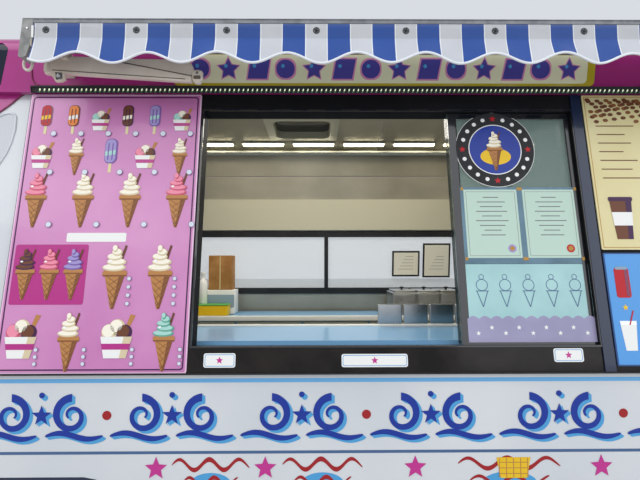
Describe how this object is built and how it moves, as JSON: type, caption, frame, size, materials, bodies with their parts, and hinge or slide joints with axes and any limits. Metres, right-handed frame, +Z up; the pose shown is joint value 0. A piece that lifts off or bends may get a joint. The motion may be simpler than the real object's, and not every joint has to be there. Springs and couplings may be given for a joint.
{
  "type": "ice cream van",
  "caption": "Coach-built ice cream van with a side serving hatch under a folding-arm awning, hinged cab and rear doors, bonnet, sliding hatch panes, rolling wheels and front steering.",
  "frame": {"origin": "on the ground, under the centre of the bounding box", "axes": "+Z up, -X toward the nose, -Y toward the serving (kerb) side"},
  "size_m": [5.85, 2.396, 3.0299],
  "materials": {
    "awning_arms": "satin",
    "awning_bar": "satin",
    "awning_valance": "woven",
    "body_floor": "matte",
    "bonnet": "gloss",
    "bumpers": "matte",
    "cab_door_left": "gloss",
    "cab_door_right": "gloss",
    "cab_seats": "woven",
    "cab_shell": "gloss",
    "chassis_frame": "satin",
    "counters": "satin",
    "dashboard": "matte",
    "door_glass_left": "gloss",
    "door_glass_right": "gloss",
    "engine_block": "rough",
    "fixed_windows": "gloss",
    "hatch_frame": "gloss",
    "hatch_pane_inner": "gloss",
    "hatch_pane_outer": "gloss",
    "knuckle_left": "rough",
    "knuckle_right": "rough",
    "lamps": "gloss",
    "lower_sides": "gloss",
    "mirror_left": "satin",
    "mirror_right": "satin",
    "offside_wall": "gloss",
    "rear_axle": "rough",
    "rear_door": "gloss",
    "rear_panel": "gloss",
    "rim_front_left": "satin",
    "rim_front_right": "satin",
    "rim_rear_left": "satin",
    "rim_rear_right": "satin",
    "roof_cones": "gloss",
    "roof_shell": "gloss",
    "roof_vent": "gloss",
    "serving_wall": "gloss",
    "steering_wheel": "matte",
    "tyre_front_left": "matte",
    "tyre_front_right": "matte",
    "tyre_rear_left": "matte",
    "tyre_rear_right": "matte",
    "underfloor_tanks": "matte",
    "windscreen": "gloss"
  },
  "bodies": {
    "van": {"awning_arms": "awning_arms", "awning_bar": "awning_bar", "awning_valance": "awning_valance", "body_floor": "body_floor", "bumpers": "bumpers", "cab_seats": "cab_seats", "cab_shell": "cab_shell", "chassis_frame": "chassis_frame", "counters": "counters", "dashboard": "dashboard", "engine_block": "engine_block", "fixed_windows": "fixed_windows", "hatch_frame": "hatch_frame", "lamps": "lamps", "lower_sides": "lower_sides", "offside_wall": "offside_wall", "rear_axle": "rear_axle", "rear_panel": "rear_panel", "roof_cones": "roof_cones", "roof_shell": "roof_shell", "roof_vent": "roof_vent", "serving_wall": "serving_wall", "steering_wheel": "steering_wheel", "underfloor_tanks": "underfloor_tanks", "windscreen": "windscreen"},
    "steer_left": {"knuckle_left": "knuckle_left"},
    "steer_right": {"knuckle_right": "knuckle_right"},
    "wheel_front_left": {"tyre_front_left": "tyre_front_left", "rim_front_left": "rim_front_left"},
    "wheel_front_right": {"tyre_front_right": "tyre_front_right", "rim_front_right": "rim_front_right"},
    "wheel_rear_left": {"tyre_rear_left": "tyre_rear_left", "rim_rear_left": "rim_rear_left"},
    "wheel_rear_right": {"tyre_rear_right": "tyre_rear_right", "rim_rear_right": "rim_rear_right"},
    "door_left": {"cab_door_left": "cab_door_left", "door_glass_left": "door_glass_left", "mirror_left": "mirror_left"},
    "door_right": {"cab_door_right": "cab_door_right", "door_glass_right": "door_glass_right", "mirror_right": "mirror_right"},
    "bonnet_lid": {"bonnet": "bonnet"},
    "back_door": {"rear_door": "rear_door"},
    "pane_outer": {"hatch_pane_outer": "hatch_pane_outer"},
    "pane_inner": {"hatch_pane_inner": "hatch_pane_inner"}
  },
  "joints": [
    {"name": "steer_left", "type": "hinge", "parent": "van", "child": "steer_left", "pos_m": [-2.06, -0.765, 0.348], "axis": [0, 0, 1], "range_deg": [-33, 33]},
    {"name": "steer_right", "type": "hinge", "parent": "van", "child": "steer_right", "pos_m": [-2.06, 0.765, 0.348], "axis": [0, 0, 1], "range_deg": [-33, 33]},
    {"name": "roll_front_left", "type": "hinge", "parent": "steer_left", "child": "wheel_front_left", "pos_m": [-2.06, -0.845, 0.348], "axis": [0, 1, 0], "continuous": true},
    {"name": "roll_front_right", "type": "hinge", "parent": "steer_right", "child": "wheel_front_right", "pos_m": [-2.06, 0.845, 0.348], "axis": [0, 1, 0], "continuous": true},
    {"name": "roll_rear_left", "type": "hinge", "parent": "van", "child": "wheel_rear_left", "pos_m": [1.605, -0.845, 0.348], "axis": [0, 1, 0], "continuous": true},
    {"name": "roll_rear_right", "type": "hinge", "parent": "van", "child": "wheel_rear_right", "pos_m": [1.605, 0.845, 0.348], "axis": [0, 1, 0], "continuous": true},
    {"name": "door_left_swing", "type": "hinge", "parent": "van", "child": "door_left", "pos_m": [-2.0135, -1.012, 1.035], "axis": [0, 0, -1], "range_deg": [0, 70]},
    {"name": "door_right_swing", "type": "hinge", "parent": "van", "child": "door_right", "pos_m": [-2.0135, 1.012, 1.035], "axis": [0, 0, 1], "range_deg": [0, 70]},
    {"name": "bonnet_lift", "type": "hinge", "parent": "van", "child": "bonnet_lid", "pos_m": [-2.2285, 0, 1.38], "axis": [0, 1, 0], "range_deg": [0, 55]},
    {"name": "rear_door_swing", "type": "hinge", "parent": "van", "child": "back_door", "pos_m": [2.907, 0.3635, 1.32], "axis": [0, 0, 1], "range_deg": [0, 110]},
    {"name": "outer_pane_slide", "type": "slide", "parent": "van", "child": "pane_outer", "axis": [-1, 0, 0], "range_m": [0, 0.483]},
    {"name": "inner_pane_slide", "type": "slide", "parent": "van", "child": "pane_inner", "axis": [-1, 0, 0], "range_m": [0, 0.957]}
  ],
  "couplings": [
    {"joint": "steer_right", "follows": "steer_left", "ratio": 1}
  ]
}
